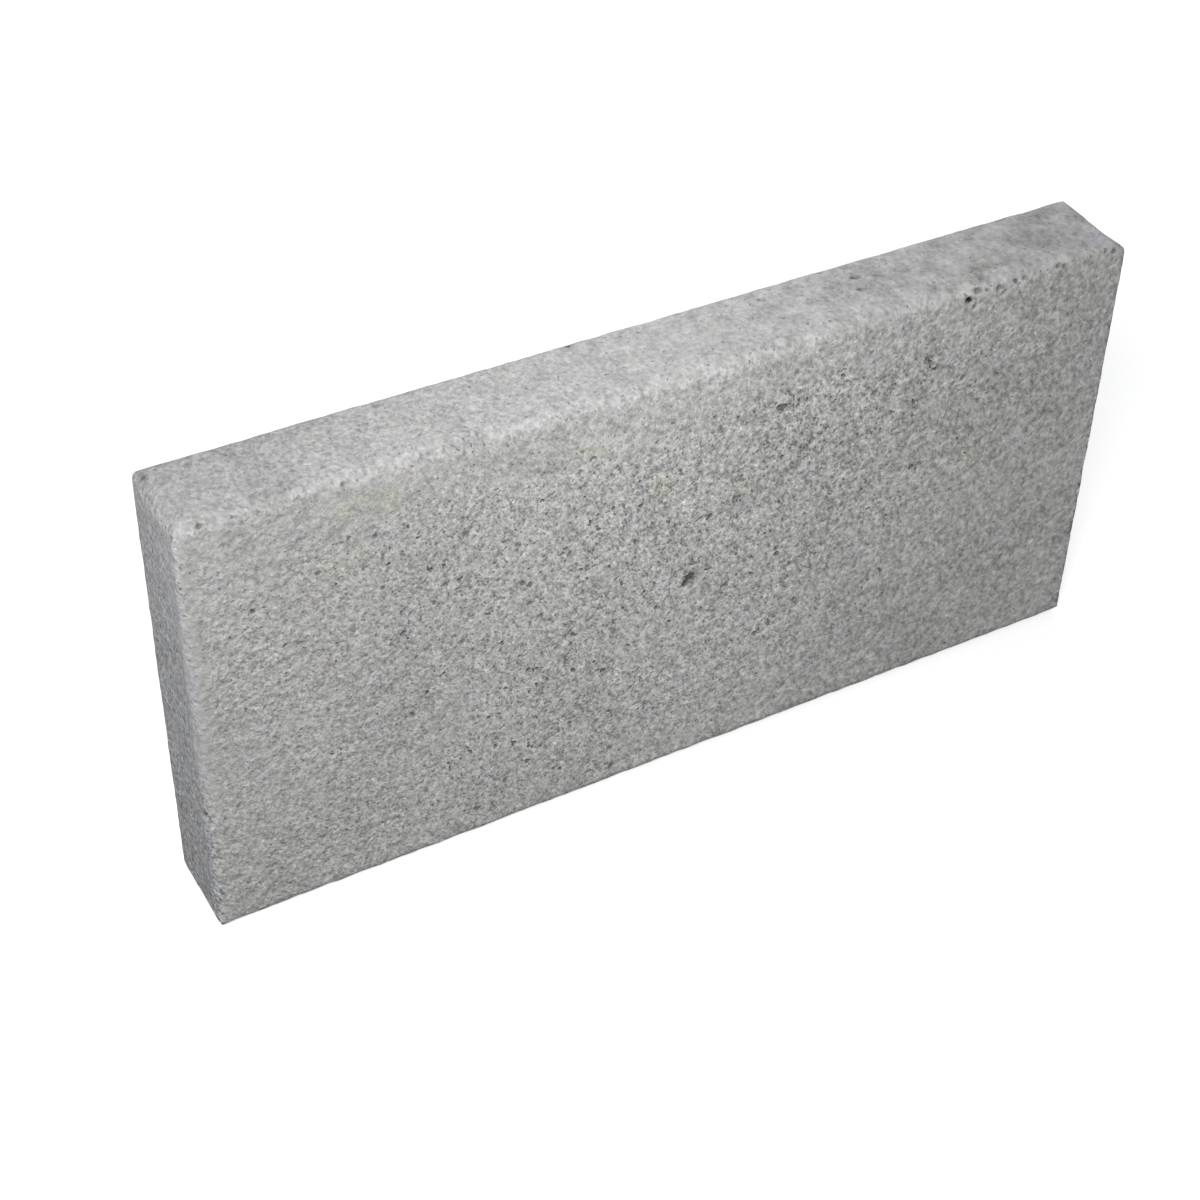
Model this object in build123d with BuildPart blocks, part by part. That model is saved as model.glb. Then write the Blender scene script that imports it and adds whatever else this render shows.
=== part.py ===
"""Solid concrete cap block: the thin unit that is laid over a hollow-block wall to close its cores.

It stands on one long narrow side, as it leaves the mould: X runs along its length, Y through its
thickness and Z up, with the origin at the middle of the side that it stands on.
"""
import os

from build123d import *

# Driving dimensions, in millimetres
foot_length = 396.9       # along the long narrow side that it stands on
height = 190.5            # from that side to the one opposite
thickness = 39.7          # between the two broad faces
end_draft = 2.4           # how far each end leans inward from foot to top, so that the mould lifts off
top_arris = 5.4           # radius worn round the top by the tamper shoe
foot_arris = 3.8          # radius round the foot, where the green block sat on its pallet
upright_arris = 1.6       # radius of the four edges down the ends

# The block's end-to-end section, seen from the front
half_foot = foot_length / 2
half_top = half_foot - end_draft

with BuildPart() as cap_block:
    with BuildSketch(Plane.XZ):
        with BuildLine():
            Polyline((-half_foot, 0), (half_foot, 0), (half_top, height), (-half_top, height), close=True)
        make_face()
    extrude(amount=thickness / 2, both=True)

    # Each arris has the radius that its side of the mould leaves
    upright_edges = cap_block.faces().filter_by(Axis.Y).edges().filter_by(Axis.X, reverse=True)
    fillet(upright_edges, radius=upright_arris)
    fillet(cap_block.faces().sort_by(Axis.Z)[-1].edges(), radius=top_arris)
    fillet(cap_block.faces().sort_by(Axis.Z)[0].edges(), radius=foot_arris)

cap_block.part.label = "cap_block"

os.makedirs("parts", exist_ok=True)
export_step(cap_block.part, "parts/cap_block.step")
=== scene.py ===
"""Looks of a solid dry-cast concrete cap block: its worn and pitted skin, and its grey finish.

Lengths are in millimetres, and turn to metres where they meet the frame, but the camera, the lamps
and the floor are given in metres. X runs along the block, Y through it with the broad face of the
photograph at -Y, and Z up from the side that it stands on.
"""
import math

import bmesh
import bpy
import numpy as np
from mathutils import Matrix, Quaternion, Vector, noise


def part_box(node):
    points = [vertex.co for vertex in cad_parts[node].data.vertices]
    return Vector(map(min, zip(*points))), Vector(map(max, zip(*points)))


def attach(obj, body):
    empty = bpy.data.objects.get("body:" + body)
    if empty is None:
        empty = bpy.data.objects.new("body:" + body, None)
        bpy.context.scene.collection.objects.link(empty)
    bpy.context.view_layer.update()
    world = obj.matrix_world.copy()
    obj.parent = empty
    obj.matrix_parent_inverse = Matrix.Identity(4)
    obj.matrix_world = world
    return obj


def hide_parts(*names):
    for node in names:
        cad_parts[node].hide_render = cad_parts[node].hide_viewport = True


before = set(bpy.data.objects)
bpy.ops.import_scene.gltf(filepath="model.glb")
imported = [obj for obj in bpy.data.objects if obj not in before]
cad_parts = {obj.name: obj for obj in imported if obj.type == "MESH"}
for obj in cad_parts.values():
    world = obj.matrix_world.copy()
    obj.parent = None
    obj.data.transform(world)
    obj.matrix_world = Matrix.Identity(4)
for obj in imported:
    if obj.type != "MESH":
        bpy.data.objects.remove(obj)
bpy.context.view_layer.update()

MM = 0.001
LOW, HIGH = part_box("cap_block")
LENGTH, THICKNESS, HEIGHT = (HIGH - LOW) / MM
END_LEAN = 2.4            # how far each end leans in, from foot to top
FRONT = -THICKNESS / 2    # where the broad face of the photograph is
TINY = 1e-9               # keeps a division off zero

# The camera, in metres, fitted to the outline of the block in the photograph
CAMERA_AT = Vector((-0.3439, -0.5528, 0.6207))
CAMERA_AIM = Vector((-0.0259, 0.0, 0.0799))
CAMERA_ROLL = math.radians(1.38)
LENS_MM = 64.65
SENSOR_MM = 36.0

# The studio, in metres. Each lamp has its place, what it points at, its width, and its power in watts.
KEY_LAMP = ((-0.47, -0.60, 0.83), (-0.04, 0.0, 0.12), 0.28, 9.5)
BACK_LAMP = ((0.70, 1.10, 0.45), (0.0, 0.0, 0.1), 0.6, 8.0)
AMBIENT = (0.390, 0.396, 0.407, 1.0)
FLOOR_HALF = 6.0          # half the floor's width

# The skin's mesh, and the radii that its arrises are worn to
SKIN_SPACING = 1.6
UPRIGHT_WEAR = 1.8
TOP_WEAR = 5.6
FOOT_WEAR = 4.0
RUBBED_WEAR = 3.2         # added low down on the near left upright
KNOCKED_WEAR = 9.0        # added at the top of the far right upright
CRISP_WEAR = 4.2          # left of the top arris along the front, towards the near right corner
SLOPED_WEAR = 3.6         # added to the top arris of the right end, most at its near corner
FOOT_SPARED = 2.0         # taken off the left end's foot arris at its far corner

# Pores that stand out in the photograph, each with its place, radius, depth and how dark its painted shade
# is inside. On the front face the place is x and z, and on top it is x and y.
FRONT_PORES = (
    # the deep hole under the top arris, painted black with its shade, and the pits about it
    ((119.6, 185.4), 1.3, 1.2, 0.99),
    ((120.4, 184.4), 1.3, 1.2, 0.99),
    ((124.0, 188.0), 1.5, 0.9, 0.60),
    ((123.0, 181.0), 1.0, 0.8, 0.60),
    # along the arris from there to the right
    ((134.0, 186.0), 1.7, 1.0, 0.58),
    ((142.0, 187.0), 1.2, 0.8, 0.55),
    ((146.0, 187.0), 1.0, 0.7, 0.45),
    ((162.0, 188.0), 1.1, 0.6, 0.58),
    ((164.5, 187.0), 1.0, 0.6, 0.58),
    ((178.0, 188.0), 0.8, 0.5, 0.50),
    ((185.0, 188.0), 0.9, 0.6, 0.50),
    ((189.0, 187.0), 1.4, 0.8, 0.52),
    # on the arris at the left
    ((-186.0, 189.0), 1.2, 0.8, 0.60),
    ((-136.0, 188.0), 1.0, 0.6, 0.55),
    # over the face, the large pit in its middle first
    ((2.5, 95.0), 2.5, 0.9, 0.82),
    ((0.5, 92.5), 2.0, 0.8, 0.80),
    ((21.0, 126.0), 1.8, 0.9, 0.60),
    ((35.0, 53.0), 1.5, 0.9, 0.58),
    ((-51.0, 74.0), 1.4, 0.9, 0.60),
    ((-67.0, 109.0), 1.2, 0.8, 0.58),
    ((-31.0, 19.0), 1.1, 0.8, 0.62),
    ((54.0, 142.0), 1.6, 0.9, 0.55),
    ((104.0, 163.0), 1.4, 0.8, 0.55),
)
TOP_PORES = (
    ((-194.0, 13.0), 1.2, 0.6, 0.50),
    # the two holes by the far edge, painted dark with their shade
    ((-32.5, 16.5), 1.2, 1.0, 0.99),
    ((13.0, 17.0), 1.0, 0.7, 0.85),
    # towards the right
    ((75.0, 16.0), 1.0, 0.6, 0.50),
    ((85.0, 7.0), 1.6, 0.9, 0.62),
)

# More pores, scattered over every face but the foot
PORE_SEED = 7
SEATS_TRIED = 3000        # places drawn, of which only some in open and clustered texture are used
SCATTERED_PORES = 150
SMALLEST_RADIUS = 0.65
RADIUS_RANGE = 0.85       # from the smallest to the largest
DEPTH_TO_RADIUS = 0.4
# how dark the painted shade inside a scattered pore is, from least to most
PORE_PAINTED_SHADE = (0.45, 0.72)

# Colours, as linear reflectance
CONCRETE = (0.416, 0.413, 0.399, 1.0)
# the ends' concrete, tinted cooler and a little darker as painted shade
END_CONCRETE_COOL_SHADE = (0.407, 0.409, 0.417, 1.0)
SKIN = (0.368, 0.366, 0.361, 1.0)          # the closed skin on the long side that faces up
YELLOWED = (0.42, 0.42, 0.335, 1.0)
LILAC = (0.43, 0.42, 0.47, 1.0)
WARM_GRAINS = (0.43, 0.41, 0.385, 1.0)
COOL_GRAINS = (0.395, 0.405, 0.42, 1.0)
EFFLORESCENCE = (0.60, 0.60, 0.61, 1.0)
FLOOR_BOUNCE = (0.16, 0.16, 0.16, 1.0)
FLOOR_SEEN = (0.62, 0.62, 0.62, 1.0)
WHITE = (1.0, 1.0, 1.0, 1.0)

# Soft patches of another colour, each with its centre and its three half sizes
PALE = (
    ((-63.0, FRONT + 2, HEIGHT - 1.5), (7.0, 3.0, 2.5)),
    ((-84.0, FRONT + 4, HEIGHT), (12.0, 2.5, 3.0)),
    ((-178.0, FRONT + 3, HEIGHT - 2), (9.0, 2.0, 1.5)),
    ((140.0, FRONT + 6, HEIGHT), (18.0, 2.0, 3.0)),
    ((177.0, FRONT + 4, HEIGHT), (8.0, 3.0, 3.0)),
)
TINTED = (
    ((-136.0, FRONT, 157.0), (14.0, 6.0, 11.0)),
    ((-127.0, FRONT, 177.0), (22.0, 6.0, 8.0)),
    ((-44.0, FRONT, 169.0), (15.0, 6.0, 9.0)),
    ((-9.0, FRONT, 141.0), (12.0, 6.0, 10.0)),
    ((24.0, FRONT, 132.0), (10.0, 6.0, 8.0)),
    ((7.0, FRONT, 96.0), (9.0, 6.0, 7.0)),
    ((118.0, FRONT, 183.0), (11.0, 6.0, 8.0)),
    ((131.0, FRONT, 109.0), (12.0, 6.0, 10.0)),
)
COOL = (
    ((187.0, -12.0, HEIGHT), (14.0, 11.0, 8.0)),
    ((-196.0, -8.0, 172.0), (5.0, 14.0, 26.0)),
    ((-195.0, FRONT, 118.0), (5.0, 5.0, 55.0)),
    ((192.0, FRONT, 134.0), (11.0, 8.0, 30.0)),
)

# The grain is a little longer one way across the broad faces
GRAIN_TURN = math.radians(30)
GRAIN_STRETCH = (1.0, 1.15, 1.3)

# Sizes of the lumps that the finish is made of
FLECK = 0.9
GAP = 1.5
GRAIN = 1.7
SAND = 3.4
HUE_PATCH = 5.0
CLUSTER = 8.0
BLOTCH = 9.0
CLOUD = 45.0


def set_input(tree, socket, value):
    """Joins a node's output to a socket, or sets the socket to a constant."""
    if isinstance(value, bpy.types.NodeSocket):
        tree.links.new(value, socket)
    else:
        socket.default_value = value


def math_node(tree, operation, a, b):
    node = tree.nodes.new("ShaderNodeMath")
    node.operation = operation
    set_input(tree, node.inputs[0], a)
    set_input(tree, node.inputs[1], b)
    return node.outputs[0]


def mix_shaders(tree, share, a, b):
    node = tree.nodes.new("ShaderNodeMixShader")
    for socket, value in zip(node.inputs, (share, a, b)):
        set_input(tree, socket, value)
    return node.outputs[0]


class Field:
    """Builds number and colour fields from nodes in one material. Sizes are in millimetres.

    A shift moves a pattern, so that no two of them line up.
    """

    def __init__(self, tree):
        self.tree = tree
        place = tree.nodes.new("ShaderNodeTexCoord")
        self.mm = self.vector("SCALE", place.outputs["Object"], scale=1 / MM)
        parts = tree.nodes.new("ShaderNodeSeparateXYZ")
        set_input(tree, parts.inputs[0], self.mm)
        self.x, self.y, self.z = parts.outputs
        turned = tree.nodes.new("ShaderNodeVectorRotate")
        turned.rotation_type = "Y_AXIS"
        turned.inputs["Angle"].default_value = GRAIN_TURN
        set_input(tree, turned.inputs["Vector"], self.mm)
        self.grained = self.vector("DIVIDE", turned.outputs[0], GRAIN_STRETCH)

    def vector(self, operation, a, b=None, scale=None):
        node = self.tree.nodes.new("ShaderNodeVectorMath")
        node.operation = operation
        set_input(self.tree, node.inputs[0], a)
        if b is not None:
            set_input(self.tree, node.inputs[1], b)
        if scale is not None:
            set_input(self.tree, node.inputs["Scale"], scale)
        return node.outputs[0]

    def length(self, a):
        node = self.tree.nodes.new("ShaderNodeVectorMath")
        node.operation = "LENGTH"
        set_input(self.tree, node.inputs[0], a)
        return node.outputs["Value"]

    def attribute(self, name):
        node = self.tree.nodes.new("ShaderNodeAttribute")
        node.attribute_name = name
        return node.outputs["Fac"]

    def wobbled(self, place, size, amount):
        """The place, pushed about so that round shapes come out uneven."""
        node = self.tree.nodes.new("ShaderNodeTexNoise")
        set_input(self.tree, node.inputs["Vector"], place)
        node.inputs["Scale"].default_value = 1 / size
        node.inputs["Detail"].default_value = 0.0
        moved = self.vector("SUBTRACT", node.outputs["Color"], (0.5, 0.5, 0.5))
        moved = self.vector("SCALE", moved, scale=amount)
        return self.vector("ADD", place, moved)

    def calc(self, operation, first, *others):
        """Works the operation on the first value and each of the others in turn."""
        result = first
        for other in others:
            result = math_node(self.tree, operation, result, other)
        return result

    def function(self, operation, value):
        """A math node that takes one value."""
        return math_node(self.tree, operation, value, 0.0)

    def total(self, *terms):
        return self.calc("ADD", *terms)

    def product(self, *factors):
        return self.calc("MULTIPLY", *factors)

    def rest(self, share):
        """What a share leaves of 1."""
        return self.calc("SUBTRACT", 1.0, share)

    def ramp(self, value, start, end, low=0.0, high=1.0, smooth=True):
        """Goes from low to high as value goes from start to end, and stays there outside."""
        node = self.tree.nodes.new("ShaderNodeMapRange")
        node.interpolation_type = "SMOOTHSTEP" if smooth else "LINEAR"
        node.clamp = True
        limits = {"Value": value, "From Min": start, "From Max": end, "To Min": low, "To Max": high}
        for name, given in limits.items():
            set_input(self.tree, node.inputs[name], given)
        return node.outputs["Result"]

    def between(self, share, low, high):
        """Goes evenly from low to high as a share goes from 0 to 1."""
        return self.ramp(share, 0.0, 1.0, low, high, smooth=False)

    def noise(self, size, shift=0.0):
        """Smooth noise from about -1 to 1, with lumps of this size."""
        node = self.tree.nodes.new("ShaderNodeTexNoise")
        node.noise_dimensions = "3D"
        node.normalize = False
        where = self.vector("ADD", self.grained, (shift, shift * 0.7, -shift))
        set_input(self.tree, node.inputs["Vector"], where)
        node.inputs["Scale"].default_value = 1 / size
        node.inputs["Detail"].default_value = 1.0
        return node.outputs["Fac"]

    def voids(self, size, chance, largest, edge=0.45, shift=0.0):
        """Scattered rounded spots, one to a cell of this size at most: 1 in a spot, 0 outside.

        The edge is the share of a spot's radius that is inside its soft rim.
        """
        where = self.wobbled(self.grained, size / 2.2, size * 0.55)
        where = self.vector("ADD", where, (shift, -shift, shift * 0.5))
        cell = self.tree.nodes.new("ShaderNodeTexVoronoi")
        cell.voronoi_dimensions = "3D"
        set_input(self.tree, cell.inputs["Vector"], where)
        cell.inputs["Scale"].default_value = 1 / size
        draw = self.tree.nodes.new("ShaderNodeSeparateColor")
        set_input(self.tree, draw.inputs[0], cell.outputs["Color"])
        left = self.calc("SUBTRACT", chance, draw.outputs[0])
        radius = self.ramp(left, 0.0, 0.35, 0.0, largest / size)
        mask = self.ramp(cell.outputs["Distance"], radius, self.product(radius, edge))
        return self.product(mask, self.ramp(left, 0.0, 0.02))

    def mix(self, share, a, b):
        node = self.tree.nodes.new("ShaderNodeMix")
        node.data_type = "RGBA"
        set_input(self.tree, node.inputs["Factor"], share)
        set_input(self.tree, node.inputs["A"], a)
        set_input(self.tree, node.inputs["B"], b)
        return node.outputs["Result"]

    def blobs(self, places, where, core):
        """1 inside soft rounded spots, each given by its centre and its three half sizes, and 0 outside.

        The core is the share of a spot's half size that is full strength.
        """
        result = 0.0
        for centre, half in places:
            near = self.vector("SUBTRACT", where, centre)
            near = self.vector("DIVIDE", near, half)
            result = self.calc("MAXIMUM", result, self.ramp(self.length(near), 1.0, core))
        return result


def smooth_step(value, start, end):
    """Goes smoothly from 0 to 1 as the value goes from start to end, whichever is the larger."""
    t = np.clip((value - start) / (end - start), 0, 1)
    return t * t * (3 - 2 * t)


def lumps(points, size, octaves, seed):
    """Smooth noise at each point, from about -1 to 1, with lumps of this size."""
    offset = Vector((seed, -seed * 0.37, seed * 0.61))
    smoothness, ratio = 0.9, 2.0
    return np.array([
        noise.fractal(Vector(p) / size + offset, smoothness, ratio, octaves, noise_basis="PERLIN_ORIGINAL")
        for p in points
    ])


def half_length(z):
    """Half the block's length at each height, because the ends lean in."""
    return LENGTH / 2 - END_LEAN * z / HEIGHT


def square_block():
    """A new object: the block with square edges, as one closed mesh."""
    block = bmesh.new()
    rings = []
    for z in (0.0, HEIGHT):
        x, y = half_length(z), THICKNESS / 2
        corners = ((-x, -y), (x, -y), (x, y), (-x, y))
        rings.append([block.verts.new(Vector((*corner, z)) * MM) for corner in corners])
    foot, top = rings
    block.faces.new(reversed(foot))
    block.faces.new(top)
    for i in range(4):
        j = (i + 1) % 4
        block.faces.new((foot[i], foot[j], top[j], top[i]))
    mesh = bpy.data.meshes.new("concrete skin")
    block.to_mesh(mesh)
    block.free()
    piece = bpy.data.objects.new("concrete_skin", mesh)
    bpy.context.scene.collection.objects.link(piece)
    return piece


def remesh(piece, spacing):
    """Gives the piece an even mesh of the same shape, with its vertices this far apart."""
    modifier = piece.modifiers.new("even mesh", "REMESH")
    modifier.mode = "VOXEL"
    modifier.voxel_size = spacing * MM
    modifier.adaptivity = 0.0
    evaluated = piece.evaluated_get(bpy.context.evaluated_depsgraph_get())
    even = bpy.data.meshes.new_from_object(evaluated)
    piece.modifiers.clear()
    piece.data = even


def get_vectors(mesh, what="co"):
    """The vertices' places, in metres, or their normals."""
    values = np.zeros(len(mesh.vertices) * 3, np.float32)
    mesh.vertices.foreach_get(what, values)
    return values.reshape(-1, 3).astype(float)


def set_points(mesh, points):
    """Moves the vertices to these points, in millimetres."""
    mesh.vertices.foreach_set("co", (points * MM).astype(np.float32).ravel())
    mesh.update()


def add_attribute(mesh, name, values):
    attribute = mesh.attributes.new(name, "FLOAT", "POINT")
    attribute.data.foreach_set("value", values.astype(np.float32))


def rubbed(points):
    """1 along the near left upright where it is rubbed smooth, and 0 away from it."""
    x, y, z = points.T
    off_edge = np.hypot(x + half_length(z), y + THICKNESS / 2)
    return smooth_step(z, 182, 140) * smooth_step(z, 35, 95) * smooth_step(off_edge, 10, 3)


def openness(points):
    """How open the texture is: near 0 where it is closed, up to 1 in the middle of a broad face."""
    x, y, z = points.T
    patchy = lumps(points, size=34.0, octaves=2, seed=3.1)
    across = np.where(y < 0, x, -x)
    slant = across + 0.7 * (HEIGHT / 2 - z)
    inside = 0.55 + 0.45 * smooth_step(across + 12 * patchy, -200, -120)
    inside *= 1 - 0.85 * smooth_step(slant + 25 * patchy, 10, 200)
    inside *= 0.2 + 0.8 * smooth_step(HEIGHT - z + 10 * patchy, 10, 35)
    inside *= 0.55 + 0.25 * smooth_step(across, 0, -120) + 0.3 * smooth_step(z + 10 * patchy, 0, 60)
    inside = np.minimum(inside, 1)
    at_end = smooth_step(np.abs(x), half_length(z) - 3, half_length(z) - 0.5)
    at_top = smooth_step(z, HEIGHT - 5, HEIGHT - 1)
    inside = inside * (1 - at_end) + 0.9 * at_end
    return np.clip(inside * (1 + 0.25 * patchy), 0, 1) * (1 - at_top) * (1 - 0.8 * rubbed(points))


def round_off(a, b, half_a, half_b, radius):
    """Rounds the edges where two pairs of faces meet, and returns both coordinates."""
    over_a = np.maximum(np.abs(a) - (half_a - radius), 0)
    over_b = np.maximum(np.abs(b) - (half_b - radius), 0)
    far = np.hypot(over_a, over_b)
    keep = np.where(far > radius, radius / np.maximum(far, TINY), 1.0)
    both = (over_a > 0) & (over_b > 0)
    new_a = np.sign(a) * (np.abs(a) - over_a * (1 - keep))
    new_b = np.sign(b) * (np.abs(b) - over_b * (1 - keep))
    return np.where(both, new_a, a), np.where(both, new_b, b)


def upright_wear(x, y, z):
    """Radius of each upright arris: the near left one is rubbed, and the far right one has lost its top."""
    low_down = smooth_step(z, 190, 100)
    near_left = (x < 0) & (y < 0)
    far_right = (x > 0) & (y > 0)
    at_top = smooth_step(z, 160, 186)
    return UPRIGHT_WEAR + RUBBED_WEAR * near_left * low_down + KNOCKED_WEAR * far_right * at_top


def worn(points):
    """The points of the square block, moved in so that its arrises are rounded unevenly."""
    x, y, z = points.T
    half_x, half_y, half_z = half_length(z), THICKNESS / 2, HEIGHT / 2
    middle = z - half_z
    crumble = lumps(points, size=8.0, octaves=3, seed=7.7)
    crisp = smooth_step(x, 150, 188) * smooth_step(y, 10, -12)
    top = TOP_WEAR + (CRISP_WEAR - TOP_WEAR) * crisp
    sloped = SLOPED_WEAR * (x > 0) * (0.35 + 0.65 * smooth_step(y, 20, -14))
    spared = FOOT_SPARED * (x < 0) * smooth_step(y, -2, 16)
    along_front = np.where(middle > 0, top, FOOT_WEAR) + 0.7 * crumble
    across_end = np.where(middle > 0, TOP_WEAR + sloped, FOOT_WEAR - spared) + 0.7 * crumble
    x, y = round_off(x, y, half_x, half_y, upright_wear(x, y, z) + 0.5 * crumble)
    y, middle = round_off(y, middle, half_y, half_z, along_front)
    x, middle = round_off(x, middle, half_x, half_z, across_end)
    return np.stack([x, y, middle + half_z], 1)


def random_seats(rng, count):
    """Random places on the faces of the square block, evenly by area, foot left out."""
    spots = rng.uniform(-1, 1, (count, 3)) * (LENGTH / 2, THICKNESS / 2, HEIGHT / 2)
    spots[:, 2] += HEIGHT / 2
    # the top is one face, and the broad faces and the ends are two each
    broad, end, top = LENGTH * HEIGHT, THICKNESS * HEIGHT, LENGTH * THICKNESS / 2
    face = rng.choice(3, count, p=np.array((broad, end, top)) / (broad + end + top))
    side = np.sign(rng.uniform(-1, 1, count))
    spots[:, 1] = np.where(face == 0, side * THICKNESS / 2, spots[:, 1])
    spots[:, 0] = np.where(face == 1, side * half_length(spots[:, 2]), spots[:, 0])
    spots[:, 2] = np.where(face == 2, HEIGHT, spots[:, 2])
    return spots


def neighbour(rng, seat, radius, depth, dark):
    """A smaller pore beside this one, so that the two together have an uneven shape."""
    across, up = rng.normal(0, 0.8 * radius, 2)
    beside = (seat[0] + across, seat[1], min(seat[2] + up, HEIGHT))
    return beside, 0.7 * radius, 0.6 * depth, min(0.8 * dark, 0.6)


def all_pores():
    """Every pore's seat on the square block, and its radius, its depth and how dark its painted shade is
    inside.
    """
    named = [((x, FRONT, z), *shape) for (x, z), *shape in FRONT_PORES]
    named += [((x, y, HEIGHT), *shape) for (x, y), *shape in TOP_PORES]
    rng = np.random.default_rng(PORE_SEED)
    seats = random_seats(rng, SEATS_TRIED)
    clusters = smooth_step(lumps(seats, size=13.0, octaves=2, seed=23.0), -0.25, 0.5)
    fewer_at_left = 0.3 + 0.7 * smooth_step(seats[:, 0], -180, -40)
    chance = (0.05 + openness(seats) ** 2) * clusters * fewer_at_left
    seats = seats[rng.random(len(seats)) < chance][:SCATTERED_PORES]
    radii = SMALLEST_RADIUS + RADIUS_RANGE * rng.random(len(seats)) ** 2
    darks = rng.uniform(*PORE_PAINTED_SHADE, len(seats))
    scattered = list(zip(seats, radii, DEPTH_TO_RADIUS * radii, darks))
    return named + [neighbour(rng, *pore) for pore in named] + scattered


def refine_near_pores(mesh, pores):
    """Splits the mesh finer round each pore, so that the pore can have a shape of its own."""
    points = get_vectors(mesh) / MM
    near = np.zeros(len(points), bool)
    for seat, radius, _, _ in pores:
        near |= np.linalg.norm(points - seat, axis=1) < radius + SKIN_SPACING
    finer = bmesh.new()
    finer.from_mesh(mesh)
    edges = [edge for edge in finer.edges if near[edge.verts[0].index] and near[edge.verts[1].index]]
    bmesh.ops.subdivide_edges(finer, edges=edges, cuts=2, use_grid_fill=True)
    bmesh.ops.triangulate(finer, faces=[face for face in finer.faces if len(face.verts) > 4])
    finer.to_mesh(mesh)
    finer.free()


def pore_shapes(points, pores):
    """How deep the pores go at each point, and how much light they leave there."""
    ragged = 1 + 0.45 * lumps(points, size=1.6, octaves=2, seed=17.0)
    depth = np.zeros(len(points))
    shade = np.ones(len(points))
    centres = worn(np.array([seat for seat, _, _, _ in pores]))
    for centre, (_, radius, deep, dark) in zip(centres, pores):
        away = np.linalg.norm(points - centre, axis=1) * ragged / radius
        depth = np.maximum(depth, deep * smooth_step(away, 1.2, 0.3))
        shade = np.minimum(shade, 1 - dark * smooth_step(away, 1.25, 0.55))
    return depth, shade


def relief(points, normals, open_texture):
    """How far the skin lies inside the worn shape at each point, its pores left out."""
    on_arris = smooth_step(np.abs(normals).max(axis=1), 0.995, 0.9)
    on_foot = smooth_step(-normals[:, 2], 0.9, 0.99)
    wave = 0.06 * (1 + lumps(points, size=70.0, octaves=2, seed=1.3))
    coarse = 0.05 + 0.07 * open_texture + 0.03 * on_arris
    coarse = coarse * (1 + lumps(points, size=9.0, octaves=2, seed=5.9))
    fine = 0.04 + 0.09 * open_texture + 0.03 * on_arris
    fine = fine * (1 + lumps(points, size=4.2, octaves=1, seed=9.2))
    depth = np.maximum(wave, 0) + np.maximum(coarse, 0) + np.maximum(fine, 0)
    return depth * (1 - 0.6 * on_foot)


def wear_skin(mesh, pores):
    """Wears the arrises and gives every face its relief and pores, always inward from the square block."""
    points = worn(get_vectors(mesh) / MM)
    set_points(mesh, points)
    normals = get_vectors(mesh, "normal")
    open_texture = openness(points)
    pore_depth, shade = pore_shapes(points, pores)
    depth = relief(points, normals, open_texture) + pore_depth
    set_points(mesh, points - normals * depth[:, None])
    add_attribute(mesh, "openness", open_texture)
    add_attribute(mesh, "rubbed", rubbed(points))
    add_attribute(mesh, "pore_shade", shade)
    mesh.shade_smooth()


def on_end(field):
    """1 on the two ends and 0 on the broad faces."""
    inset = field.calc("SUBTRACT", LENGTH / 2, field.function("ABSOLUTE", field.x))
    return field.ramp(inset, 4.5, 1.8)


def on_top(field):
    """1 on the long side that faces up, and 0 below its arris."""
    return field.ramp(field.z, HEIGHT - 6.5, HEIGHT - 0.5)


def at_left(field):
    """1 at the left of the block, fading to 0 before its middle."""
    return field.ramp(field.x, -60.0, -180.0)


def broad_tone_and_painted_light(field):
    """How light the block is from place to place, apart from its grain.

    It carries a painted pool of light towards the middle of its length, stronger up its faces. The ends
    grow lighter upwards, and both ends of the top are darker.
    """
    # Painted light: a pool of light centred here along the length and about this wide, made stronger up the
    # faces
    pool_centre_x, width = -12.0, 105.0
    away = field.calc("DIVIDE", field.calc("SUBTRACT", field.x, pool_centre_x), width)
    light_pool = field.function("EXPONENT", field.product(away, away, -1.0))
    climb = field.ramp(field.z, 0.0, 185.0, 0.3, 1.0, smooth=False)
    under_arris = field.ramp(field.z, 145.0, 178.0, 0.0, 0.02)
    up_end = field.product(on_end(field), field.ramp(field.z, 20.0, 185.0, -0.05, 0.19, smooth=False))
    right_top = field.ramp(field.x, 90.0, 195.0, -0.02, -0.14)
    left_top = field.ramp(field.x, -120.0, -190.0, 0.0, -0.08)
    top_ends = field.product(on_top(field), field.total(right_top, left_top))
    return field.total(0.985, field.product(light_pool, climb, 0.25), under_arris, up_end, top_ends)


def concrete_colour(field, sand):
    """The paste's own colour, with its stains and a painted cool shade on the ends, before the grain and
    pores darken it.
    """
    broken = field.ramp(sand, -0.5, 0.4, 0.25, 1.0)
    hue = field.noise(HUE_PATCH, shift=77.0)
    patchy = field.wobbled(field.mm, size=9.0, amount=12.0)
    close = field.wobbled(field.mm, size=4.0, amount=5.0)
    layers = (
        (on_end(field), END_CONCRETE_COOL_SHADE),
        (on_top(field), SKIN),
        (field.product(field.blobs(TINTED, patchy, core=0.0), broken, 0.75), YELLOWED),
        (field.product(field.blobs(COOL, patchy, core=0.0), 0.5), LILAC),
        (field.ramp(hue, 0.1, 0.7, 0.0, 0.35), WARM_GRAINS),
        (field.ramp(hue, -0.1, -0.7, 0.0, 0.35), COOL_GRAINS),
        (field.product(field.blobs(PALE, close, core=0.3), broken, 0.26), EFFLORESCENCE),
    )
    colour = CONCRETE
    for share, layer in layers:
        colour = field.mix(share, colour, layer)
    return colour


def clustered_openness(field):
    """The openness that the skin carries, gathered in clusters."""
    open_texture = field.attribute("openness")
    clusters = field.noise(CLUSTER, shift=51.0)
    return field.total(open_texture, field.product(clusters, open_texture, 0.75))


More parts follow.
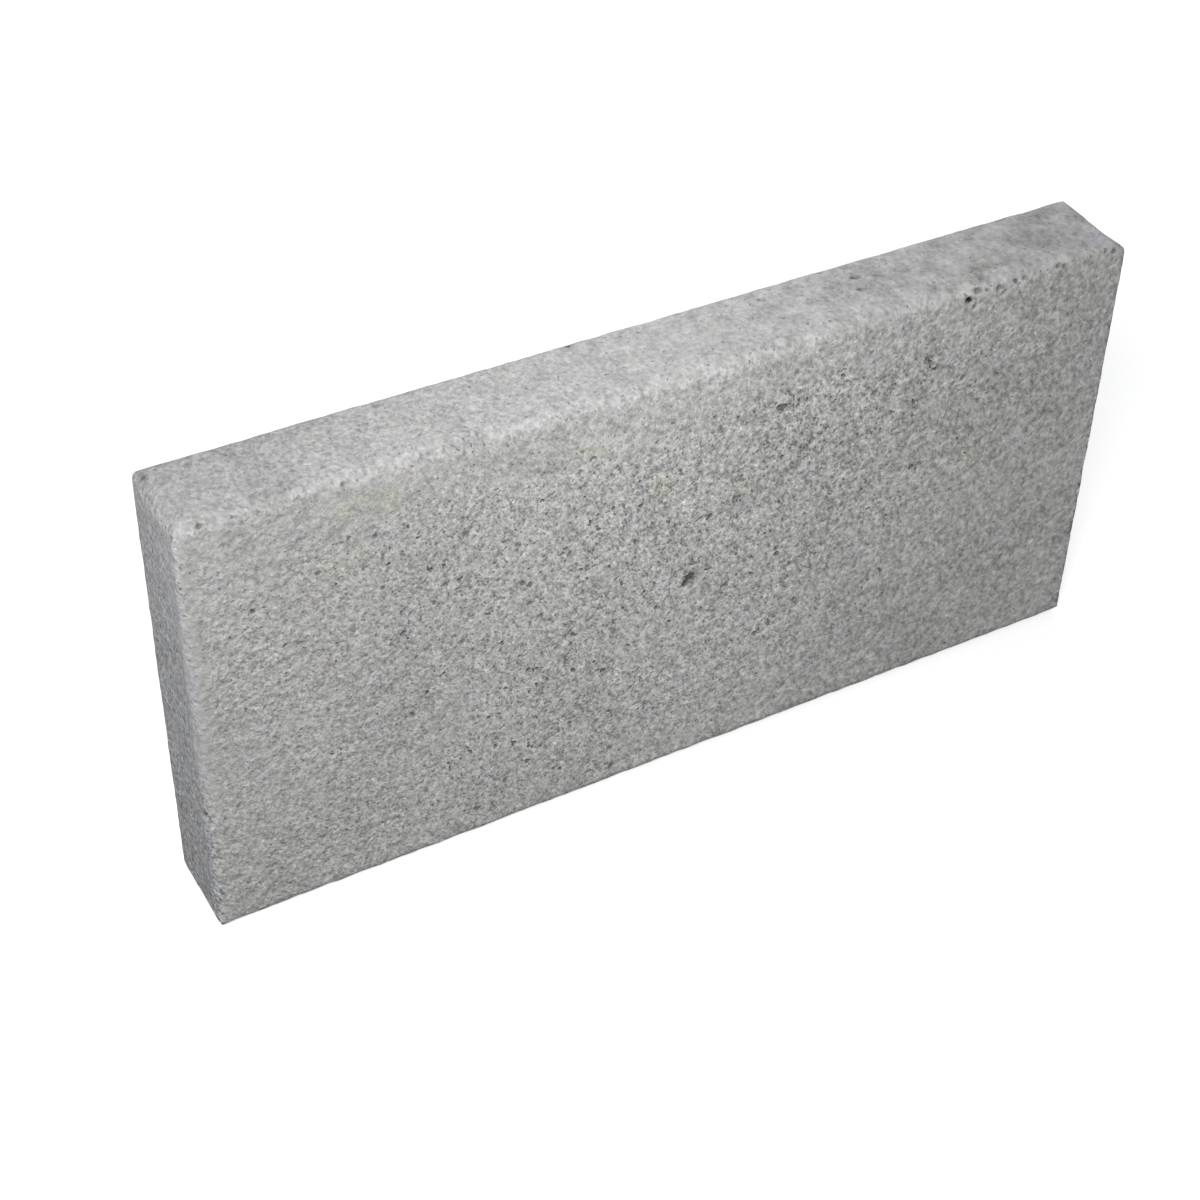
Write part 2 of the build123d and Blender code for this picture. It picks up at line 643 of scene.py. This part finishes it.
def grain_shares(field, clustered):
    """How strong the fine and the coarse grain are from place to place."""
    worn_down = field.between(field.attribute("rubbed"), 1.0, 0.72)
    end_foot = field.product(on_end(field), field.ramp(field.z, 185.0, 60.0, 0.2, 0.75))
    left_foot = field.product(at_left(field), field.ramp(field.z, 100.0, 20.0), 0.3)
    top_fine = field.product(
        field.ramp(field.x, -180.0, 40.0, 1.24, 0.50),
        field.ramp(field.x, 40.0, 170.0, 1.0, 0.64),
    )
    top_coarse = field.ramp(field.x, -180.0, 0.0, 2.2, 0.86)
    fine = field.product(
        field.between(clustered, 0.75, 1.50),
        field.ramp(field.x, -190.0, -40.0, 0.76, 1.10),
        field.ramp(field.x, 0.0, 150.0, 1.0, 0.76),
        field.between(on_top(field), 1.0, top_fine),
        field.total(worn_down, end_foot, left_foot),
    )
    coarse = field.product(
        field.between(clustered, 1.1, 1.25),
        field.ramp(field.x, -160.0, 120.0, 0.40, 1.22),
        field.between(on_top(field), 1.0, top_coarse),
        field.total(worn_down, end_foot),
    )
    return fine, coarse


def cavities(field, clustered):
    """The gaps between the grains, and the small holes: 1 inside them and 0 outside."""
    gaps = field.noise(GAP, shift=31.0)
    gaps = field.ramp(gaps, field.between(clustered, -0.62, -0.22), -0.75)
    fewer = field.rest(field.product(at_left(field), 0.75))
    medium = field.voids(4.5, chance=field.product(clustered, fewer, 0.52), largest=1.05, shift=13.0)
    large = field.voids(11.0, chance=field.product(clustered, fewer, 0.30), largest=1.7, shift=40.0)
    return gaps, field.calc("MAXIMUM", medium, large)


def grain_tone(field, grain, sand, fine_share, coarse_share):
    """How the grains, the sand and the smears lighten and darken the surface."""
    fleck = field.noise(FLECK)
    blotch = field.noise(BLOTCH, shift=5.0)
    cloud = field.noise(CLOUD, shift=9.0)
    pale_grains = field.voids(3.0, chance=0.32, largest=0.8, edge=0.6, shift=71.0)
    front_smear = field.ramp(field.x, -150.0, 100.0, 0.035, 0.065, smooth=False)
    top_smear = field.ramp(field.x, 0.0, 150.0, 0.14, 0.34)
    return field.total(
        1.0,
        field.product(fine_share, field.total(field.product(fleck, 0.335), field.product(grain, 0.235))),
        field.product(coarse_share, field.total(field.product(grain, 0.20), field.product(sand, 0.17))),
        field.product(blotch, field.between(on_top(field), front_smear, top_smear)),
        field.product(cloud, 0.07),
        field.product(pale_grains, fine_share, 0.42),
    )


def cavity_painted_shade(field, gaps, holes):
    """The painted shade inside the gaps, the small holes and the skin's own pores."""
    gap_shade = field.ramp(at_left(field), 0.0, 1.0, 0.55, 0.72)
    return field.product(
        field.ramp(gaps, 0.0, 1.0, 1.0, gap_shade),
        field.ramp(holes, 0.0, 1.0, 1.0, 0.46),
        field.attribute("pore_shade"),
    )


def bump_height(field, grain, sand, coarse_share, gaps, holes):
    """Height of the grain, more embossed at the left of the broad faces, and depth of its gaps."""
    on_broad = field.product(field.rest(on_top(field)), field.rest(on_end(field)))
    embossed = field.total(1.0, field.product(at_left(field), on_broad, 3.4))
    return field.total(
        field.product(grain, coarse_share, embossed, 0.115),
        field.product(sand, coarse_share, embossed, 0.165),
        field.product(gaps, -0.22),
        field.product(holes, -0.8),
    )


def concrete_material():
    """Matt grey concrete, whose grain and pores show in its colour and its bump."""
    material = bpy.data.materials.new("dry cast concrete")
    material.use_nodes = True
    tree = material.node_tree
    shader = tree.nodes["Principled BSDF"]
    field = Field(tree)

    grain = field.noise(GRAIN, shift=4.0)
    sand = field.noise(SAND, shift=21.0)
    clustered = clustered_openness(field)
    fine_share, coarse_share = grain_shares(field, clustered)
    gaps, holes = cavities(field, clustered)

    # The tone carries painted shade inside the gaps, holes and pores, and a painted pool of light.
    tone = field.product(
        grain_tone(field, grain, sand, fine_share, coarse_share),
        broad_tone_and_painted_light(field),
        cavity_painted_shade(field, gaps, holes),
    )
    colour = field.vector("SCALE", concrete_colour(field, sand), scale=tone)
    set_input(tree, shader.inputs["Base Color"], colour)
    set_input(tree, shader.inputs["Roughness"], field.ramp(grain, -0.6, 0.6, 0.8, 0.97))
    shader.inputs["Specular IOR Level"].default_value = 0.25

    bump = tree.nodes.new("ShaderNodeBump")
    bump.inputs["Strength"].default_value = 1.0
    bump.inputs["Distance"].default_value = MM
    set_input(tree, bump.inputs["Height"], bump_height(field, grain, sand, coarse_share, gaps, holes))
    tree.links.new(bump.outputs["Normal"], shader.inputs["Normal"])
    return material


def seen_rays(tree):
    """1 for the rays that show the background itself, directly or in a mirror or glass."""
    rays = tree.nodes.new("ShaderNodeLightPath").outputs
    direct = math_node(tree, "MAXIMUM", rays["Is Camera Ray"], rays["Is Glossy Ray"])
    return math_node(tree, "MAXIMUM", direct, rays["Is Transmission Ray"])


def floor_material():
    """White where it is seen, with the block's shadow kept, and darker for the light it throws back."""
    material = bpy.data.materials.new("studio floor")
    material.use_nodes = True
    tree = material.node_tree
    tree.nodes.remove(tree.nodes["Principled BSDF"])
    field = Field(tree)
    dull = tree.nodes.new("ShaderNodeBsdfDiffuse")
    dull.inputs["Color"].default_value = FLOOR_BOUNCE
    lit = tree.nodes.new("ShaderNodeBsdfDiffuse")
    lit.inputs["Color"].default_value = FLOOR_SEEN
    glow = tree.nodes.new("ShaderNodeEmission")
    by_distance = field.ramp(field.length(field.mm), 350.0, 1100.0, 0.5, 1.0)
    set_input(tree, glow.inputs["Strength"], by_distance)
    seen = tree.nodes.new("ShaderNodeAddShader")
    tree.links.new(lit.outputs[0], seen.inputs[0])
    tree.links.new(glow.outputs[0], seen.inputs[1])
    mixed = mix_shaders(tree, seen_rays(tree), dull.outputs[0], seen.outputs[0])
    tree.links.new(mixed, tree.nodes["Material Output"].inputs["Surface"])
    return material


def make_floor():
    """A wide floor at the block's foot."""
    plane = bmesh.new()
    bmesh.ops.create_grid(plane, x_segments=4, y_segments=4, size=FLOOR_HALF)
    mesh = bpy.data.meshes.new("studio floor")
    plane.to_mesh(mesh)
    plane.free()
    mesh.materials.append(floor_material())
    floor = bpy.data.objects.new("studio_floor", mesh)
    bpy.context.scene.collection.objects.link(floor)


def make_world():
    """Soft light from all round, and pure white where the background is seen."""
    world = bpy.data.worlds.new("studio")
    world.use_nodes = True
    tree = world.node_tree
    soft = tree.nodes["Background"]
    soft.inputs["Color"].default_value = AMBIENT
    seen = tree.nodes.new("ShaderNodeBackground")
    seen.inputs["Color"].default_value = WHITE
    seen.inputs["Strength"].default_value = 1.0
    mixed = mix_shaders(tree, seen_rays(tree), soft.outputs[0], seen.outputs[0])
    tree.links.new(mixed, tree.nodes["World Output"].inputs["Surface"])
    bpy.context.scene.world = world


def make_lamp(name, at, aim, width, power):
    """A soft square lamp that points from one place to another."""
    data = bpy.data.lights.new(name, "AREA")
    data.shape = "SQUARE"
    data.size = width
    data.energy = power
    lamp = bpy.data.objects.new(name, data)
    lamp.location = at
    lamp.rotation_euler = (Vector(aim) - Vector(at)).to_track_quat("-Z", "Y").to_euler()
    bpy.context.scene.collection.objects.link(lamp)


def make_camera():
    """The camera that took the photograph."""
    data = bpy.data.cameras.new("photograph")
    data.sensor_width = SENSOR_MM
    data.lens = LENS_MM
    camera = bpy.data.objects.new("photograph", data)
    camera.location = CAMERA_AT
    level = (CAMERA_AIM - CAMERA_AT).to_track_quat("-Z", "Y")
    camera.rotation_euler = (level @ Quaternion((0, 0, 1), CAMERA_ROLL)).to_euler()
    bpy.context.scene.collection.objects.link(camera)
    bpy.context.scene.camera = camera


def make_block():
    """The block's skin, in place of the plain CAD solid."""
    block = square_block()
    remesh(block, SKIN_SPACING)
    pores = all_pores()
    refine_near_pores(block.data, pores)
    wear_skin(block.data, pores)
    block.data.materials.append(concrete_material())
    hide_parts("cap_block")
    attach(block, "root")


make_block()
make_floor()
make_world()
make_lamp("key", *KEY_LAMP)
make_lamp("back fill", *BACK_LAMP)
make_camera()
bpy.context.scene.view_settings.view_transform = "Standard"
